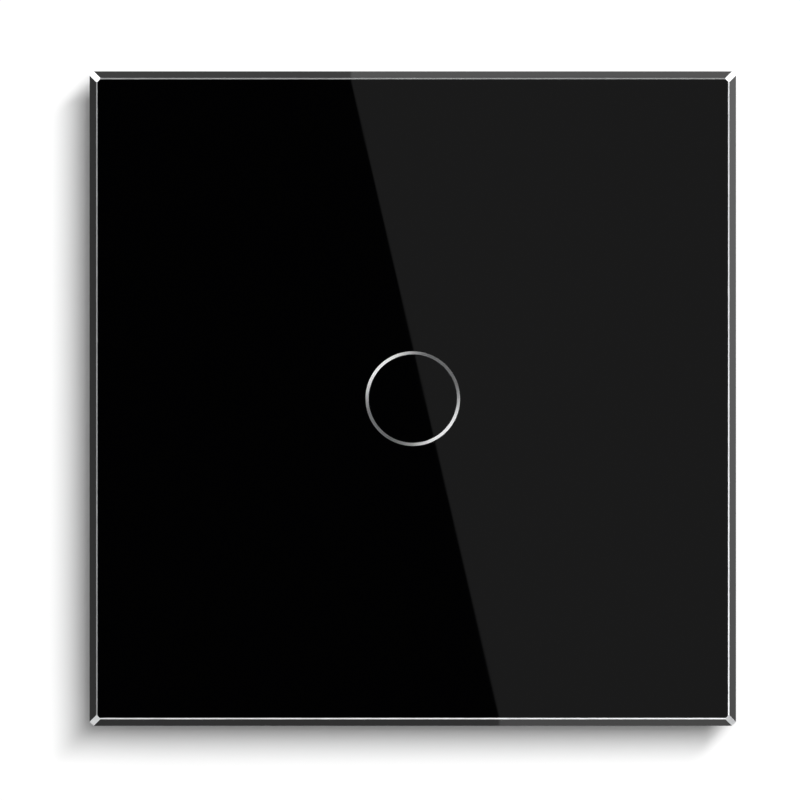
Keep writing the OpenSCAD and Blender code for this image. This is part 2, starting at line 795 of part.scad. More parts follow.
// Base
module base_frame()
    color([0.1, 0.1, 0.1])
        on_wall()
            difference() {
                union() {
                    slab(base_w, base_h, base_cut, strap_t, z_plate);
                    difference() {
                        slab(tray_w, tray_w, base_cut, strap_t, z_cover_front - cover_step);
                        slab(tray_in, tray_in, frame_cut, z_plate, z_cover_front);
                    }
                    four(pillar_x, pillar_y)
                        rod([0, 0], housing_shank_r + screw_wall, strap_t, z_board);
                    four(strap_screw_x, strap_screw_x)
                        rod([0, 0], strap_shank_r + screw_wall, strap_t, z_plate + strap_post_h);
                    for (turn = [0 : 90 : 270])
                        rotate(turn)
                            rod([cover_screw_r, 0], cover_post_r, strap_t, z_board);
                }
                block([-window_w / 2, window_w / 2], [-window_w / 2, window_w / 2],
                    [strap_t - cut_over, z_plate + cut_over]);
                for (turn = [0 : 90 : 270])
                    rotate(turn)
                        block([tray_w / 2 + notch_land, panel_w], [-head_notch_w / 2, head_notch_w / 2],
                            [strap_t - cut_over, z_plate + cut_over]);
                four(pillar_x, pillar_y)
                    rod([0, 0], housing_shank_r + fit, strap_t - cut_over, z_board - tip_gap);
                four(strap_screw_x, strap_screw_x)
                    rod([0, 0], strap_shank_r + fit, strap_t - cut_over, z_plate + strap_post_h + cut_over);
                for (turn = [0 : 90 : 270])
                    rotate(turn)
                        rod([cover_screw_r, 0], cover_shank_r + fit,
                            cover_screw_end - fit, z_board + cut_over);
            }

module slot_hole(run)
    translate([0, 0, -cut_over])
        linear_extrude(strap_t + 2 * cut_over) {
            square([run, slot_w], center = true);
            for (side = [-1, 1])
                translate([side * run / 2, 0])
                    circle(r = slot_w / 2);
        }

module mounting_strap()
    color([0.75, 0.76, 0.78])
        on_wall()
            difference() {
                slab(strap_w, strap_h, base_cut, 0, strap_t);
                slab(housing_w + 2 * strap_fit, housing_h + 2 * strap_fit, housing_cut,
                    -cut_over, strap_t + cut_over);
                for (turn = [0 : 90 : 270])
                    rotate(turn)
                        translate([slot_pitch / 2, 0, 0])
                            slot_hole(slot_l - slot_w);
                four(strap_screw_x, strap_screw_x)
                    mirror([0, 0, 1])
                        flush_hole(strap_head_r, strap_shank_r, strap_t + cut_over);
                translate([strap_screw_x - arrow_gap, strap_screw_x, -cut_over])
                    linear_extrude(strap_t + 2 * cut_over)
                        polygon([[-arrow_w / 2, 0], [arrow_w / 2, 0], [0, arrow_h]]);
            }

module strap_screws()
    color("silver")
        on_wall()
            four(strap_screw_x, strap_screw_x)
                mirror([0, 0, 1])
                    flush_screw(strap_head_r, strap_shank_r, z_plate + strap_post_h);

// The housing's outline above a level, which leaves the terminals outside
module above(y)
    intersection() {
        children();
        translate([-housing_w, y, z_back - cut_over])
            cube([2 * housing_w, 2 * housing_h, strap_t - z_back + 2 * cut_over]);
    }

module housing_outside() {
    eased_slab(housing_w, housing_h, housing_cut, z_step, strap_t);
    above(y_step)
        eased_slab(housing_w, housing_h, housing_cut, z_back, strap_t);
}

// The room inside, around the screws' pillars and the ledges for the power board
module housing_room() {
    in_w = housing_w - 2 * housing_wall;
    in_h = housing_h - 2 * housing_wall;
    difference() {
        union() {
            slab(in_w, in_h, inner_cut, z_step + housing_wall, strap_t + cut_over);
            above(y_step + housing_wall)
                slab(in_w, in_h, inner_cut, z_back + housing_wall, strap_t);
        }
        four(pillar_x, pillar_y)
            rod([0, 0], pillar_r, z_back, strap_t + 2 * cut_over);
        for (side = [-1, 1])
            block([side * housing_in - ledge_w, side * housing_in + ledge_w],
                [y_row_2 - ledge_l / 2, y_row_2 + ledge_l / 2], [z_back, z_power_back]);
        block([-ledge_l / 2, ledge_l / 2], [in_h / 2 - ledge_w, in_h / 2 + ledge_w],
            [z_back, z_power_back]);
    }
}

// Stiffening ribs along both sides of the housing
module housing_ribs()
    for (side = [-1, 1], i = [1:ribs])
        translate([0, (i - (ribs + 1) / 2) * rib_pitch, 0])
            block([side * (housing_w - housing_wall) / 2, side * (housing_w / 2 + rib_h)],
                [-rib_w / 2, rib_w / 2], [z_back + rib_end, -rib_end]);

// Slits through the housing's top, on both sides of the board's ledge
module housing_vents()
    for (side = [-1, 1], i = [1:vents])
        translate([side * (ledge_l / 2 + i * vent_pitch), housing_h / 2, (z_power_back + z_back) / 2])
            block([-vent_w / 2, vent_w / 2], [-housing_wall - cut_over, cut_over],
                [-vent_l / 2, vent_l / 2]);

module rear_housing()
    color([0.13, 0.13, 0.14])
        on_wall()
            difference() {
                union() {
                    housing_outside();
                    housing_ribs();
                }
                housing_room();
                housing_vents();
                four(pillar_x, pillar_y) {
                    rod([0, 0], housing_shank_r + hole_play, z_seat - cut_over, strap_t + cut_over);
                    rod([0, 0], housing_head_r + hole_play, z_back - cut_over, z_seat);
                }
                block([-blocks_w / 2 - run_gap, blocks_w / 2 + run_gap],
                    [y_low - cut_over, y_block + run_gap], [z_step - cut_over, z_power_back + run_gap]);
                translate([0, (y_step + housing_h / 2) / 2, 0])
                    slab(label_w, label_h, frame_cut, z_back - cut_over, z_back + recess_d);
                for (side = [-1, 1])
                    block([side * blocks_w / 2, side * (blocks_w / 2 + gauge_l)],
                        [y_step + part_gap, y_step + part_gap + gauge_w],
                        [z_back - cut_over, z_back + recess_d]);
            }

module housing_screws()
    color("silver")
        on_wall()
            four(pillar_x, pillar_y)
                translate([0, 0, z_seat])
                    difference() {
                        union() {
                            rod([0, 0], housing_head_r, -housing_head_h, 0);
                            rod([0, 0], housing_shank_r, 0, housing_screw_l);
                        }
                        translate([0, 0, -housing_head_h])
                            mirror([0, 0, 1])
                                cross_recess(housing_head_r * drive_reach);
                    }

// Power board
module power_pcb()
    color([0.05, 0.3, 0.12])
        on_wall()
            difference() {
                slab(housing_w - 2 * power_pcb_inset, housing_h - 2 * power_pcb_inset,
                    inner_cut, z_power_back, z_power);
                four(pillar_x, pillar_y)
                    rod([0, 0], pillar_r + power_pcb_play, z_power_back - cut_over, z_power + cut_over);
            }

module header_socket()
    color([0.1, 0.1, 0.1])
        on_wall()
            difference() {
                connector_body(z_power, z_header);
                at_pins()
                    pin_column(pin_t / 2 + run_gap, z_power + pin_tip_gap - run_gap, z_header + cut_over);
            }

// Places a piece on the back of the power board, with +Z away from the board
module on_power(x, y)
    on_wall()
        translate([x, y, z_power_back])
            mirror([0, 0, 1])
                children();

module film_capacitor()
    color([0.75, 0.6, 0.2])
        on_power(part_gap / 2, y_row_2)
            cube([film_l, film_w, film_h]);

module bulk_capacitor()
    color([0.15, 0.18, 0.3])
        on_power(-part_gap / 2 - varistor_d / 2 - bulk_d / 2, y_row_3 + bulk_d / 2)
            rotate_extrude()
                polygon([[0, 0], [bulk_d / 2, 0], [bulk_d / 2, crimp_z],
                    [bulk_d / 2 - crimp_d, crimp_z + crimp_d], [bulk_d / 2, crimp_z + 2 * crimp_d],
                    [bulk_d / 2, bulk_h - crimp_d], [bulk_d / 2 - crimp_d, bulk_h], [0, bulk_h]]);

module varistor()
    color([0.15, 0.3, 0.6])
        on_power(varistor_d / 2 - part_gap, y_row_3 + varistor_t / 2) {
            translate([0, varistor_t / 2, varistor_lead + varistor_d / 2])
                rotate([90, 0, 0])
                    cylinder(r = varistor_d / 2, h = varistor_t);
            for (side = [-1, 1])
                translate([side * varistor_d / 4, 0, 0])
                    cylinder(r = varistor_lead_r, h = varistor_lead + varistor_d / 2);
        }

module fuse()
    color([0.3, 0.15, 0.1])
        on_power(housing_in - ledge_w - part_gap - fuse_d / 2, y_row_1 + row_1 / 2)
            cylinder(r = fuse_d / 2, h = fuse_h);

module choke()
    color([0.2, 0.2, 0.2])
        on_power(0, y_row_1 + row_1 / 2)
            rotate_extrude()
                polygon([[0, 0], [choke_d / 2, 0], [choke_d / 2, choke_flange],
                    [choke_d / 2 - choke_waist, choke_flange],
                    [choke_d / 2 - choke_waist, choke_h - choke_flange],
                    [choke_d / 2, choke_h - choke_flange], [choke_d / 2, choke_h], [0, choke_h]]);

module rectifier()
    color([0.1, 0.1, 0.1])
        on_power(-housing_in / 2, y_row_1 + row_1 / 2)
            small_chip(rectifier_w);

module driver_chip()
    color([0.1, 0.1, 0.1])
        on_wall()
            translate([0, header_drop, z_power])
                small_chip(chip_l);

// Relay, drawn along X from its left end, with +Z away from the board
module in_relay() on_power(relay_x, relay_y) children();

module relay_base()
    color([0.2, 0.25, 0.3])
        in_relay()
            block([case_t + run_gap, relay_l - case_t - run_gap],
                [case_t + run_gap - relay_w / 2, relay_w / 2 - case_t - run_gap], [0, relay_base_t]);

module relay_case()
    color([0.2, 0.35, 0.55])
        in_relay()
            difference() {
                block([0, relay_l], [-relay_w / 2, relay_w / 2], [0, relay_h]);
                block([case_t, relay_l - case_t], [case_t - relay_w / 2, relay_w / 2 - case_t],
                    [-cut_over, relay_h - case_t]);
            }

module relay_yoke()
    color([0.6, 0.6, 0.62])
        in_relay() {
            u = case_t + yoke_inset;
            block([u, coil_u + coil_r], [-armature_w / 2, armature_w / 2], [relay_base_t, foot_top]);
            block([u, u + iron_t], [-armature_w / 2, armature_w / 2],
                [relay_base_t, armature_low - run_gap]);
        }

module relay_core()
    color([0.7, 0.7, 0.72])
        in_relay() {
            rod([coil_u, 0], core_r, foot_top, pole_top);
            rod([coil_u, 0], pole_r, pole_top - pole_t, pole_top);
        }

module relay_coil()
    color([0.7, 0.35, 0.15])
        in_relay()
            translate([coil_u, 0, foot_top])
                tube(coil_r, core_r + fit, 0, coil_h);

module relay_armature()
    color([0.62, 0.62, 0.65])
        in_relay()
            block([case_t + yoke_inset, case_t + yoke_inset + armature_l],
                [-armature_w / 2, armature_w / 2], [armature_low, spring_low]);

module contact_spring()
    color([0.8, 0.6, 0.3])
        in_relay()
            block([case_t + yoke_inset, rivet_u + rivet_r + rivet_edge], [-spring_w / 2, spring_w / 2],
                [spring_low, spring_low + spring_t]);

module moving_contact()
    color([0.85, 0.85, 0.88])
        in_relay()
            rod([rivet_u, 0], rivet_r, spring_low - rivet_h, spring_low);

module fixed_contact()
    color([0.85, 0.85, 0.88])
        in_relay() {
            shelf_top = spring_low - 2 * rivet_h - contact_drop;
            blade_u = rivet_u + rivet_r + rivet_edge;
            block([rivet_u - rivet_r - rivet_edge, blade_u + blade_t], [-spring_w / 2, spring_w / 2],
                [shelf_top - blade_t, shelf_top]);
            block([blade_u, blade_u + blade_t], [-spring_w / 2, spring_w / 2],
                [relay_base_t, shelf_top]);
            rod([rivet_u, 0], rivet_r, shelf_top, shelf_top + rivet_h);
        }

// Terminals, drawn about their own middle, with +Z away from the board
module in_terminal(i) on_power(terminal_x(i), 0) children();

module terminal_block(i)
    color([0.55, 0.57, 0.58])
        in_terminal(i)
            difference() {
                translate([0, y_low + block_l / 2, block_d])
                    mirror([0, 0, 1])
                        prism(0, block_l, eased_profile(block_w / 2, 0, block_d));
                block([-bay_w / 2, bay_w / 2], [bay_y, y_block - block_wall], [-cut_over, bay_end]);
                rod([0, screw_y], screw_r + hole_play, 0, block_d);
                rod([0, screw_y], screw_head_r + hole_play, seat_level, block_d + cut_over);
                translate([0, bay_y + cut_over, entry_level])
                    rotate([90, 0, 0])
                        cylinder(r = entry_r, h = entry_wall + 2 * cut_over);
            }

module terminal_screw(i)
    color([0.8, 0.8, 0.78])
        in_terminal(i)
            translate([0, screw_y, 0])
                difference() {
                    union() {
                        rod([0, 0], screw_head_r, head_level, head_level + screw_head_h);
                        rod([0, 0], screw_r, bar_high + run_gap, head_level);
                    }
                    translate([0, 0, head_level + screw_head_h])
                        cross_recess(screw_head_r * drive_reach);
                }

module terminal_cage(i)
    color([0.8, 0.65, 0.3])
        in_terminal(i)
            difference() {
                block([-cage_w / 2, cage_w / 2], [cage_y, cage_y + cage_l], [cage_low, cage_top + cage_t]);
                block([cage_side - cage_w / 2, cage_w / 2 - cage_side],
                    [cage_y - cut_over, cage_y + cage_l + cut_over], [wire_low, cage_top]);
                rod([0, screw_y], screw_r + fit, cage_top - cut_over, cage_top + cage_t + cut_over);
            }

module terminal_bar(i)
    color([0.8, 0.65, 0.3])
        in_terminal(i) {
            block([-bar_w / 2, bar_w / 2], [cage_y, bar_leg_y + bar_t], [bar_low, bar_high]);
            block([-bar_w / 2, bar_w / 2], [bar_leg_y, bar_leg_y + bar_t], [0, bar_high]);
        }

glass_panel();
touch_ring();
black_print();
adhesive_gasket();
panel_frame();
touch_cover();
cover_screws();
light_guide();
touch_pcb();
touch_pads();
indicator_leds();
touch_chip();
pin_header();
header_pins();
base_frame();
mounting_strap();
strap_screws();
rear_housing();
housing_screws();
power_pcb();
header_socket();
film_capacitor();
bulk_capacitor();
varistor();
fuse();
choke();
rectifier();
driver_chip();
relay_base();
relay_case();
relay_yoke();
relay_core();
relay_coil();
relay_armature();
contact_spring();
moving_contact();
fixed_contact();
for (i = [1 : terminals]) {
    terminal_block(i);
    terminal_screw(i);
    terminal_cage(i);
    terminal_bar(i);
}
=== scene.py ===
"""Finishes, rounded edges, wall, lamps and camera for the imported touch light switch.

Row frame, in metres: the wall face is the plane y = 0, the glass looks along -Y and +Z is up.
"""

import json
import math

import bmesh
import bpy
from mathutils import Matrix, Quaternion, Vector


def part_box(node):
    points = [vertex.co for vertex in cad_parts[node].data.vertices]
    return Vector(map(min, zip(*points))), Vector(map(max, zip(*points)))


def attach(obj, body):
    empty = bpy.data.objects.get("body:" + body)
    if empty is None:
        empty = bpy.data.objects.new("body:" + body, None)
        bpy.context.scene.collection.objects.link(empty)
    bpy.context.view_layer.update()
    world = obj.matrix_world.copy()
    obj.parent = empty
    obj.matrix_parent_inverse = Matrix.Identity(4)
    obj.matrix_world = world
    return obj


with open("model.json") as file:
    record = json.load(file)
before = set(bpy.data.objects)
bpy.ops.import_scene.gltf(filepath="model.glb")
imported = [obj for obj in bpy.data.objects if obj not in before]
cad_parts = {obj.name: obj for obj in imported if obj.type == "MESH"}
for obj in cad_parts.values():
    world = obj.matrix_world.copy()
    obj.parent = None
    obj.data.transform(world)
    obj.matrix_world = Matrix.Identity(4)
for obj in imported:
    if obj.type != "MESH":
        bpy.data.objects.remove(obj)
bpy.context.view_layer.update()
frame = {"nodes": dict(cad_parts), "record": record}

MM = 0.001

# How the photograph frames the switch: its side, the scale of the glass outline and the panel's middle.
PHOTO_SIDE_PX = 800
PX_PER_MM = 8.08
PANEL_MIDDLE_PX = (412.8, 398.6)
LENS_MM = 400.0
SENSOR_MM = 36.0

FRONT = Vector((0, -1, 0))
UP = Vector((0, 0, 1))

# Glass: how far the normals of its arrises and corner cuts turn towards the front, where two of its bevels
# look, and how near a point lies to its outline to count as on it.
GROUND_TURNS = (0.75, 0.99)
UPPER_BEVEL = FRONT + UP
LOWER_BEVEL = FRONT - UP
OUTLINE_SLACK = 0.01 * MM

# The straight reflection across the face: its ends, right of and above the panel's middle.
REFLECTION_TOP_MM = (-7.65, 39.4)
REFLECTION_FOOT_MM = (10.7, -39.5)

# What the world gives to matt surfaces, and what it shows the camera.
FILL = 0.25
BACKGROUND = 1.0

# Soft boxes that only reflections see: direction, half-angles of full and of no strength, strength.
SOFT_BOXES = (
    ((0.95, 0.05, 0.31), 12, 26, 2.3),
    ((-1.0, 0.05, 0.0), 12, 26, 0.42),
    ((0.0, 0.05, 1.0), 12, 26, 0.48),
    ((0.0, 0.05, -1.0), 12, 26, 0.5),
    ((-0.64, -0.42, 0.64), 15, 30, 2.5),
    ((0.68, -0.28, 0.68), 12, 25, 1.3),
    ((-0.68, -0.28, -0.68), 12, 25, 0.8),
    ((0.46, -0.75, -0.46), 22, 33, 3.2),
    ((-0.7, -0.6, -0.4), 10, 35, 0.1),
    ((0.0, 1.0, 0.3), 20, 100, 0.75),
    ((0.68, 0.26, 0.68), 15, 25, 2.0),
)

# Cards with a straight edge: strengths, half-angles and half the width of that edge as seen on the glass.
FRONT_CARD = 0.235
UPPER_CARD = 0.68
LOWER_CARD = 0.56
SIDE_CARD = 0.45
CARD_ANGLES = (6, 14)
CARD_EDGE_MM = 0.15

# Where the face looks when seen from the right and above, and how gently the card there fades.
SIDE_LOOK = Vector((-0.64, -0.64, -0.42)).normalized()
SIDE_FADE = 0.03

# A key from the upper right, and two lamps behind the wall for the back: name, place, what it points at,
# size, power and turn, in metres, watts and degrees.
LAMPS = (
    ("key", (0.3, -1.2, 0.3), (0.3, 0, 0.3), (0.85, 0.2), 17.5, 45),
    ("rear_left", (-0.7, 1.1, 0.5), (0, 0, 0), (0.8, 0.8), 11, 0),
    ("rear_right", (0.3, 0.2, 0.36), (0, 0, 0), (0.2, 0.2), 1.3, 0),
)

WALL_SIDE = 3.0
WALL_GAP = 0.02 * MM
WALL_COLOUR = (0.9, 0.9, 0.9, 1.0)
WALL_GLOW = 0.03

# Noise: its levels of detail, the stretch of it over which colour and roughness change, and how many
# grains a broad patch of colour spans.
NOISE_DETAIL = 3.0
NOISE_SPAN = (0.3, 0.7)
BROAD_GRAINS = 14

# Rounded edges: samples of their normal, how much nearer to white they are painted, partly as edge wear and
# partly
#  as a painted highlight, and the cosines of the normal's turn where that shows fully and not at all. Then
#  the
#  patches of that paler edge: their size, the stretch of noise over which they fade, and the least that shows
#      between them.
EDGE_SAMPLES = 4
EDGE_PALER = 0.1
EDGE_TURNS = (0.94, 0.998)
PATCH_MM = 4.0
PATCH_SPAN = (0.35, 0.65)
PATCH_LEAST = 0.8

# Copper areas on the circuit boards: their pitch, the shares of it where a gap ends and copper starts,
# and how strongly they show.
TRACK_PITCH = 6 * MM
TRACK_GAP = (0.06, 0.1)
TRACK_LEVEL = 0.7

# Turns of a winding: their pitch, and the scale of a wave that repeats once a metre.
WIRE_PITCH = 0.35 * MM
WAVE_SCALE = 2 * math.pi / 20

GLASS_BLACK = Vector((0.0004, 0.0004, 0.0005))
GROUND_WHITE = Vector((0.82, 0.83, 0.84))
WHITE = Vector((1, 1, 1))

# Raised dots on the housing's back, which count the terminals.
TERMINALS = 3
MARK_R = 0.5 * MM
MARK_TOP_R = 0.4 * MM
MARK_PITCH = 1.5 * MM
MARK_H = 0.15 * MM
MARK_SUNK = 0.03 * MM
MARK_RISE = 2.2 * MM
MARK_SIDES = 24


def node(tree, kind, inputs=None, **settings):
    """A new node, with each input set to a value or linked from a socket."""
    made = tree.nodes.new(kind)
    for name, value in settings.items():
        setattr(made, name, value)
    for name, value in (inputs or {}).items():
        if isinstance(value, bpy.types.NodeSocket):
            tree.links.new(value, made.inputs[name])
        else:
            made.inputs[name].default_value = value
    return made


def math_node(tree, operation, first, second):
    """The result of one sum on two values or sockets."""
    return node(tree, "ShaderNodeMath", {0: first, 1: second}, operation=operation).outputs[0]


def added(tree, sockets):
    """The sum of several sockets."""
    total = sockets[0]
    for socket in sockets[1:]:
        total = math_node(tree, "ADD", total, socket)
    return total


def dot(tree, first, second):
    """How far one direction turns towards another, from -1 to 1; each is a vector or a socket."""
    turned = node(tree, "ShaderNodeVectorMath", {0: first, 1: second}, operation="DOT_PRODUCT")
    return turned.outputs["Value"]


def eased(tree, value, low, high, to_low=0.0, to_high=1.0):
    """value, eased from to_low at low to to_high at high."""
    limits = {"Value": value, "From Min": low, "From Max": high, "To Min": to_low, "To Max": to_high}
    return node(tree, "ShaderNodeMapRange", limits, interpolation_type="SMOOTHSTEP").outputs["Result"]


def link_to_scene(name, data):
    """A new object with this data, in the scene."""
    made = bpy.data.objects.new(name, data)
    bpy.context.scene.collection.objects.link(made)
    return made


# Camera


def outline_level():
    """The y of the glass outline, where the bevel meets the sides."""
    low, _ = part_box("glass_panel")
    vertices = frame["nodes"]["glass_panel"].data.vertices
    return min(v.co.y for v in vertices if v.co.x < low.x + OUTLINE_SLACK)


def photo_camera():
    """A long lens square to the glass, at the distance that gives its outline the photograph's scale."""
    view_side = PHOTO_SIDE_PX / PX_PER_MM * MM
    camera = link_to_scene("photo_camera", bpy.data.cameras.new("photo_camera"))
    camera.data.lens = LENS_MM
    camera.data.sensor_width = SENSOR_MM
    camera.location = (
        (PHOTO_SIDE_PX / 2 - PANEL_MIDDLE_PX[0]) / PX_PER_MM * MM,
        outline_level() - view_side * LENS_MM / SENSOR_MM,
        (PANEL_MIDDLE_PX[1] - PHOTO_SIDE_PX / 2) / PX_PER_MM * MM,
    )
    camera.rotation_euler = (math.radians(90), 0, 0)
    bpy.context.scene.camera = camera
    return camera


# Studio


def facet_normal(direction):
    """The normal of the glass facet that turns most towards a direction."""
    facets = frame["nodes"]["glass_panel"].data.polygons
    return max((p.normal for p in facets), key=lambda normal: normal.dot(direction)).copy()


def reflected(camera, place_mm, normal):
    """The direction that the camera sees reflected at a place on the panel, given right and up in mm."""
    low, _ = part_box("glass_panel")
    place = Vector((place_mm[0] * MM, low.y, place_mm[1] * MM))
    return (place - camera.location).normalized().reflect(normal)


def rightward(edge):
    """A plane's normal, turned to point to the right."""
    return edge if edge.x > 0 else -edge


def face_edge(camera):
    """The normal of the plane whose reflection is the straight line across the face."""
    top = reflected(camera, REFLECTION_TOP_MM, FRONT)
    foot = reflected(camera, REFLECTION_FOOT_MM, FRONT)
    return rightward(top.cross(foot).normalized())


def bevel_edge(camera, place_mm, bevel):
    """The normal of the upright plane that splits a bevel's reflection at a place along it."""
    seen = reflected(camera, place_mm, facet_normal(bevel))
    return rightward(Vector((seen.z, 0, -seen.x)).normalized())


def card_places(camera):
    """Each card's direction, the normal of its straight edge, half that edge's width and its strength."""
    face = face_edge(camera)
    side = (face - face.project(SIDE_LOOK)).normalized()
    sharp = CARD_EDGE_MM * MM / camera.location.length
    return (
        (FRONT, face, sharp, FRONT_CARD),
        (UP, bevel_edge(camera, REFLECTION_TOP_MM, UPPER_BEVEL), sharp, UPPER_CARD),
        (-UP, bevel_edge(camera, REFLECTION_FOOT_MM, LOWER_BEVEL), sharp, LOWER_CARD),
        (SIDE_LOOK, side, SIDE_FADE, SIDE_CARD),
    )


def soft_box(tree, direction, towards, full, faded, strength):
    """A round soft box in a direction, at full strength within one half-angle and gone at the other."""
    turn = dot(tree, direction, Vector(towards).normalized())
    return eased(tree, turn, math.cos(math.radians(faded)), math.cos(math.radians(full)), 0.0, strength)


def card(tree, direction, towards, edge, softness, strength):
    """A soft box cut off along a straight edge."""
    box = soft_box(tree, direction, towards, *CARD_ANGLES, strength)
    side = eased(tree, dot(tree, direction, edge), -softness, softness)
    return math_node(tree, "MULTIPLY", box, side)


def studio_world(camera):
    """White behind the object, an even fill for matt surfaces, and soft boxes and cards for reflections."""
    world = bpy.data.worlds.new("studio")
    world.use_nodes = True
    # Only reflections see the soft boxes, so the world isn't sampled as a lamp.
    world.cycles.sampling_method = "NONE"
    tree = world.node_tree
    direction = node(tree, "ShaderNodeTexCoord").outputs["Generated"]
    boxes = [soft_box(tree, direction, *box) for box in SOFT_BOXES]
    cards = [card(tree, direction, *place) for place in card_places(camera)]
    levels = {
        "Is Diffuse Ray": FILL,
        "Is Camera Ray": BACKGROUND,
        "Is Transmission Ray": BACKGROUND,
        "Is Glossy Ray": added(tree, boxes + cards),
    }
    rays = node(tree, "ShaderNodeLightPath").outputs
    strengths = [math_node(tree, "MULTIPLY", rays[ray], level) for ray, level in levels.items()]
    background = tree.nodes["Background"]
    background.inputs["Color"].default_value = (*WHITE, 1)
    tree.links.new(added(tree, strengths), background.inputs["Strength"])
    bpy.context.scene.world = world


def wall_material():
    """Matt white that glows a little for the camera and lets it through from behind."""
    made = bpy.data.materials.new("wall")
    made.use_nodes = True
    tree = made.node_tree
    tree.nodes.clear()
    rays = node(tree, "ShaderNodeLightPath").outputs
    glow = math_node(tree, "MULTIPLY", rays["Is Camera Ray"], WALL_GLOW)
    matt = node(tree, "ShaderNodeBsdfDiffuse", {"Color": WALL_COLOUR}).outputs[0]
    lit = node(tree, "ShaderNodeEmission", {"Strength": glow}).outputs[0]
    front = node(tree, "ShaderNodeAddShader", {0: matt, 1: lit}).outputs[0]
    back = node(tree, "ShaderNodeBsdfTransparent").outputs[0]
    facing = node(tree, "ShaderNodeNewGeometry").outputs["Backfacing"]
    both = node(tree, "ShaderNodeMixShader", {0: facing, 1: front, 2: back}).outputs[0]
    node(tree, "ShaderNodeOutputMaterial", {"Surface": both})
    return made


def wall():
    """The wall face behind the panel, which only the camera sees, so the back stays lit and in view."""
    half = WALL_SIDE / 2
    corners = ((-half, -half), (half, -half), (half, half), (-half, half))
    mesh = bpy.data.meshes.new("wall")
    mesh.from_pydata([(x, WALL_GAP, z) for x, z in corners], [], [(0, 1, 2, 3)])
    mesh.materials.append(wall_material())
    made = link_to_scene("wall", mesh)
    for rays in ("diffuse", "glossy", "transmission", "volume_scatter", "shadow"):
        setattr(made, f"visible_{rays}", False)


def lamp(name, place, target, size, power, turn):
    """A soft rectangular lamp, which reflections don't show."""
    light = bpy.data.lights.new(name, "AREA")
    light.shape = "RECTANGLE"
    light.size, light.size_y = size
    light.energy = power
    made = link_to_scene(name, light)
    made.location = place
    aim = (Vector(target) - Vector(place)).to_track_quat("-Z", "Y")
    made.rotation_euler = (aim @ Quaternion((0, 0, 1), math.radians(turn))).to_euler()
    made.visible_glossy = False


# Materials


def slot_colour(slot):
    """The record's colour for a material slot."""
    for made in frame["record"]["materials"]:
        if made["slot"] == slot:
            return Vector(made["base_color"][:3])
    raise KeyError(slot)


def noise(tree, size_mm, stretch=(1, 1, 1)):
    """Noise about this many millimetres across, longer along an axis whose stretch is below 1."""
    place = node(tree, "ShaderNodeTexCoord").outputs["Object"]
    mapped = node(tree, "ShaderNodeMapping", {"Vector": place, "Scale": stretch}).outputs["Vector"]
    inputs = {"Vector": mapped, "Scale": 1 / (size_mm * MM), "Detail": NOISE_DETAIL}
    return node(tree, "ShaderNodeTexNoise", inputs).outputs["Fac"]


def ramp(tree, value, stops):
    """A colour that goes through these stops, each a place from 0 to 1 and its colour."""
    made = node(tree, "ShaderNodeValToRGB", {"Fac": value})
    elements = made.color_ramp.elements
    while len(elements) < len(stops):
        elements.new(1.0)
    for element, (place, colour) in zip(elements, stops):
        element.position = place
        element.color = (*colour, 1)
    return made.outputs["Color"]


def rubbed_and_highlit(tree, rounded):
    """Up to 1 in patches along the edges and 0 on flats, from the rounded normal: the mask of edge wear and
    painted edge highlight.
    """
    flat = node(tree, "ShaderNodeNewGeometry").outputs["Normal"]
    edges = eased(tree, dot(tree, flat, rounded), *EDGE_TURNS, 1.0, 0.0)
    patches = eased(tree, noise(tree, PATCH_MM), *PATCH_SPAN, PATCH_LEAST, 1.0)
    return math_node(tree, "MULTIPLY", edges, patches)


def tracks(tree):
    """TRACK_LEVEL on a circuit board's copper areas and 0 in the gaps between them."""
    place = node(tree, "ShaderNodeTexCoord").outputs["Object"]
    upright = node(tree, "ShaderNodeMapping", {"Vector": place, "Rotation": (math.radians(90), 0, 0)})
    inputs = {"Vector": upright.outputs["Vector"], "Scale": 1 / TRACK_PITCH}
    cells = dict(voronoi_dimensions="2D", distance="MANHATTAN")
    near, far = (
        node(tree, "ShaderNodeTexVoronoi", inputs, feature=feature, **cells).outputs["Distance"]
        for feature in ("F1", "F2")
    )
    return eased(tree, math_node(tree, "SUBTRACT", far, near), *TRACK_GAP, 0.0, TRACK_LEVEL)


def turns(tree):
    """From 0 between the turns of a winding to 1 on their crests."""
    place = node(tree, "ShaderNodeTexCoord").outputs["Object"]
    inputs = {"Vector": place, "Scale": WAVE_SCALE / WIRE_PITCH}
    return node(tree, "ShaderNodeTexWave", inputs, bands_direction="Y").outputs["Fac"]


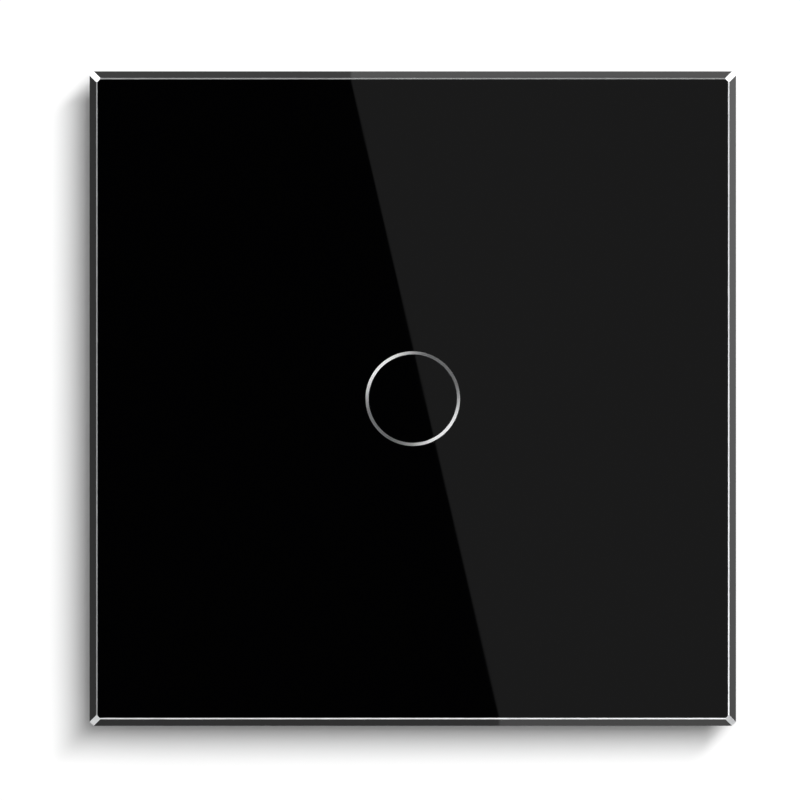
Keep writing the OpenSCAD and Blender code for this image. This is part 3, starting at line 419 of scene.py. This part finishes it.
def surface(name, colour, rough, grain, relief, drift=0.1, stretch=(1, 1, 1), metallic=0.0, edge=0.0,
            pattern=None, sockets=None):
    """A material whose colour, roughness and relief vary with a grain, a pattern and rounded edges, in mm;
    rounded edges are painted paler, as wear and as a painted highlight.
    """
    made = bpy.data.materials.get(name) or bpy.data.materials.new(name)
    made.use_nodes = True
    tree = made.node_tree
    tree.nodes.clear()
    shader = node(tree, "ShaderNodeBsdfPrincipled", {"Metallic": metallic, **(sockets or {})})
    node(tree, "ShaderNodeOutputMaterial", {"Surface": shader.outputs["BSDF"]})
    fine = noise(tree, grain, stretch)
    broad = noise(tree, grain * BROAD_GRAINS, stretch)
    if pattern:
        raised = pattern(tree)
        fine = math_node(tree, "ADD", fine, raised)
        broad = math_node(tree, "MAXIMUM", broad, raised)
    bump = node(tree, "ShaderNodeBump", {"Height": fine, "Distance": relief * MM})
    if edge:
        bevel = node(tree, "ShaderNodeBevel", {"Radius": edge * MM}, samples=EDGE_SAMPLES)
        tree.links.new(bevel.outputs["Normal"], bump.inputs["Normal"])
        # Paler colour along the rounded edges: partly edge wear, partly a painted highlight.
        broad = math_node(tree, "MAXIMUM", broad, rubbed_and_highlit(tree, bevel.outputs["Normal"]))
    darkest, lightest = NOISE_SPAN
    stops = (
        (darkest, colour * (1 - drift)),
        (lightest, colour * (1 + drift)),
        # The palest stop: the painted edge highlight and wear along rounded edges.
        (1.0, colour.lerp(WHITE, EDGE_PALER)),
    )
    tree.links.new(ramp(tree, broad, stops), shader.inputs["Base Color"])
    tree.links.new(eased(tree, fine, *NOISE_SPAN, *rough), shader.inputs["Roughness"])
    tree.links.new(bump.outputs["Normal"], shader.inputs["Normal"])
    return made


# Each slot's finish: range of roughness, size of the grain, relief and rounded edge in mm, drift of colour.
FINISHES = {
    "ring_metal": dict(
        rough=(0.33, 0.4), grain=0.06, relief=0.0005, drift=0.03, metallic=1.0,
        sockets={"Anisotropic": 0.85, "Anisotropic Rotation": 0.25},
    ),
    "back_print": dict(rough=(0.5, 0.6), grain=0.2, relief=0.003),
    "adhesive": dict(rough=(0.75, 0.9), grain=0.3, relief=0.03),
    "frame_plastic": dict(rough=(0.4, 0.55), grain=0.22, relief=0.02, edge=0.35),
    "housing_plastic": dict(rough=(0.48, 0.66), grain=0.35, relief=0.08, edge=0.4),
    "cover_plastic": dict(rough=(0.35, 0.5), grain=0.3, relief=0.006, drift=0.03, edge=0.1),
    "clear_plastic": dict(
        rough=(0.04, 0.1), grain=0.5, relief=0.002, drift=0.02, sockets={"Transmission Weight": 0.9}
    ),
    "circuit_board": dict(rough=(0.25, 0.4), grain=0.4, relief=0.02, drift=0.35, pattern=tracks),
    "copper": dict(rough=(0.25, 0.4), grain=0.3, relief=0.003, metallic=1.0),
    "led": dict(rough=(0.25, 0.4), grain=0.3, relief=0.003, drift=0.04),
    "chip_resin": dict(rough=(0.45, 0.6), grain=0.1, relief=0.006),
    "connector_plastic": dict(rough=(0.4, 0.55), grain=0.2, relief=0.006),
    "gold_pin": dict(rough=(0.2, 0.3), grain=0.2, relief=0.002, metallic=1.0),
    "strap_steel": dict(
        rough=(0.3, 0.4), grain=0.12, relief=0.0015, drift=0.04, stretch=(0.04, 1, 1), metallic=1.0, edge=0.15
    ),
    "screw_steel": dict(rough=(0.2, 0.34), grain=0.3, relief=0.003, metallic=1.0, edge=0.15),
    "film_box": dict(rough=(0.25, 0.35), grain=0.3, relief=0.004),
    "can_sleeve": dict(rough=(0.2, 0.3), grain=0.5, relief=0.004),
    "varistor_coat": dict(rough=(0.2, 0.35), grain=0.8, relief=0.03),
    "fuse_case": dict(rough=(0.25, 0.35), grain=0.3, relief=0.004),
    "ferrite": dict(rough=(0.5, 0.7), grain=0.2, relief=0.01),
    "relay_plastic": dict(rough=(0.22, 0.32), grain=0.4, relief=0.004),
    "relay_base_plastic": dict(rough=(0.4, 0.5), grain=0.3, relief=0.006),
    "soft_iron": dict(rough=(0.3, 0.42), grain=0.3, relief=0.003, metallic=1.0),
    "winding": dict(rough=(0.25, 0.4), grain=0.3, relief=0.05, drift=0.3, metallic=0.6, pattern=turns),
    "contact_silver": dict(rough=(0.2, 0.3), grain=0.2, relief=0.002, metallic=1.0),
    "spring_bronze": dict(rough=(0.25, 0.35), grain=0.3, relief=0.002, metallic=1.0),
    "terminal_plastic": dict(rough=(0.4, 0.52), grain=0.25, relief=0.008, edge=0.25),
    "terminal_brass": dict(rough=(0.22, 0.36), grain=0.3, relief=0.003, metallic=1.0),
}
POLISHED_GLASS = dict(rough=(0.003, 0.007), grain=6.0, relief=0.0, sockets={"IOR": 1.52})
GROUND_GLASS = dict(rough=(0.28, 0.32), grain=0.08, relief=0.0002, metallic=0.75)


def finish_slots():
    """Gives every material slot of the CAD nodes its finish."""
    for slot, finish in FINISHES.items():
        surface(slot, slot_colour(slot), **finish)
    surface("black_glass", GLASS_BLACK, **POLISHED_GLASS)


def brush_ring():
    """Turns the ring's brushing into circles about its axis."""
    tree = bpy.data.materials["ring_metal"].node_tree
    tangent = node(tree, "ShaderNodeTangent", direction_type="RADIAL", axis="Y")
    tree.links.new(tangent.outputs["Tangent"], tree.nodes["Principled BSDF"].inputs["Tangent"])


def grind_glass():
    """Gives the glass arrises and corner cuts a pale ground finish."""
    mesh = frame["nodes"]["glass_panel"].data
    ground = len(mesh.materials)
    mesh.materials.append(surface("ground_glass", GROUND_WHITE, **GROUND_GLASS))
    least, most = GROUND_TURNS
    for facet in mesh.polygons:
        if least < facet.normal.dot(FRONT) < most:
            facet.material_index = ground


def terminal_marks():
    """One, two and three dots on the housing's back, above the terminals that they count."""
    _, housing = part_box("rear_housing")
    _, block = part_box("terminal_block_1")
    upright = Matrix.Rotation(math.radians(-90), 4, "X")
    cone = dict(cap_ends=True, segments=MARK_SIDES, radius1=MARK_R, radius2=MARK_TOP_R)
    dots = bmesh.new()
    for terminal in range(1, TERMINALS + 1):
        low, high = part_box(f"terminal_screw_{terminal}")
        for i in range(terminal):
            across = (low.x + high.x) / 2 + (i - (terminal - 1) / 2) * MARK_PITCH
            middle = Matrix.Translation((across, housing.y + (MARK_H - MARK_SUNK) / 2, block.z + MARK_RISE))
            bmesh.ops.create_cone(dots, depth=MARK_H + MARK_SUNK, matrix=middle @ upright, **cone)
    mesh = bpy.data.meshes.new("terminal_marks")
    dots.to_mesh(mesh)
    dots.free()
    mesh.materials.append(bpy.data.materials["cover_plastic"])
    marks = link_to_scene("terminal_marks", mesh)
    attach(marks, "base")


bpy.context.scene.view_settings.view_transform = "Standard"
studio_world(photo_camera())
for values in LAMPS:
    lamp(*values)
wall()
finish_slots()
brush_ring()
grind_glass()
terminal_marks()
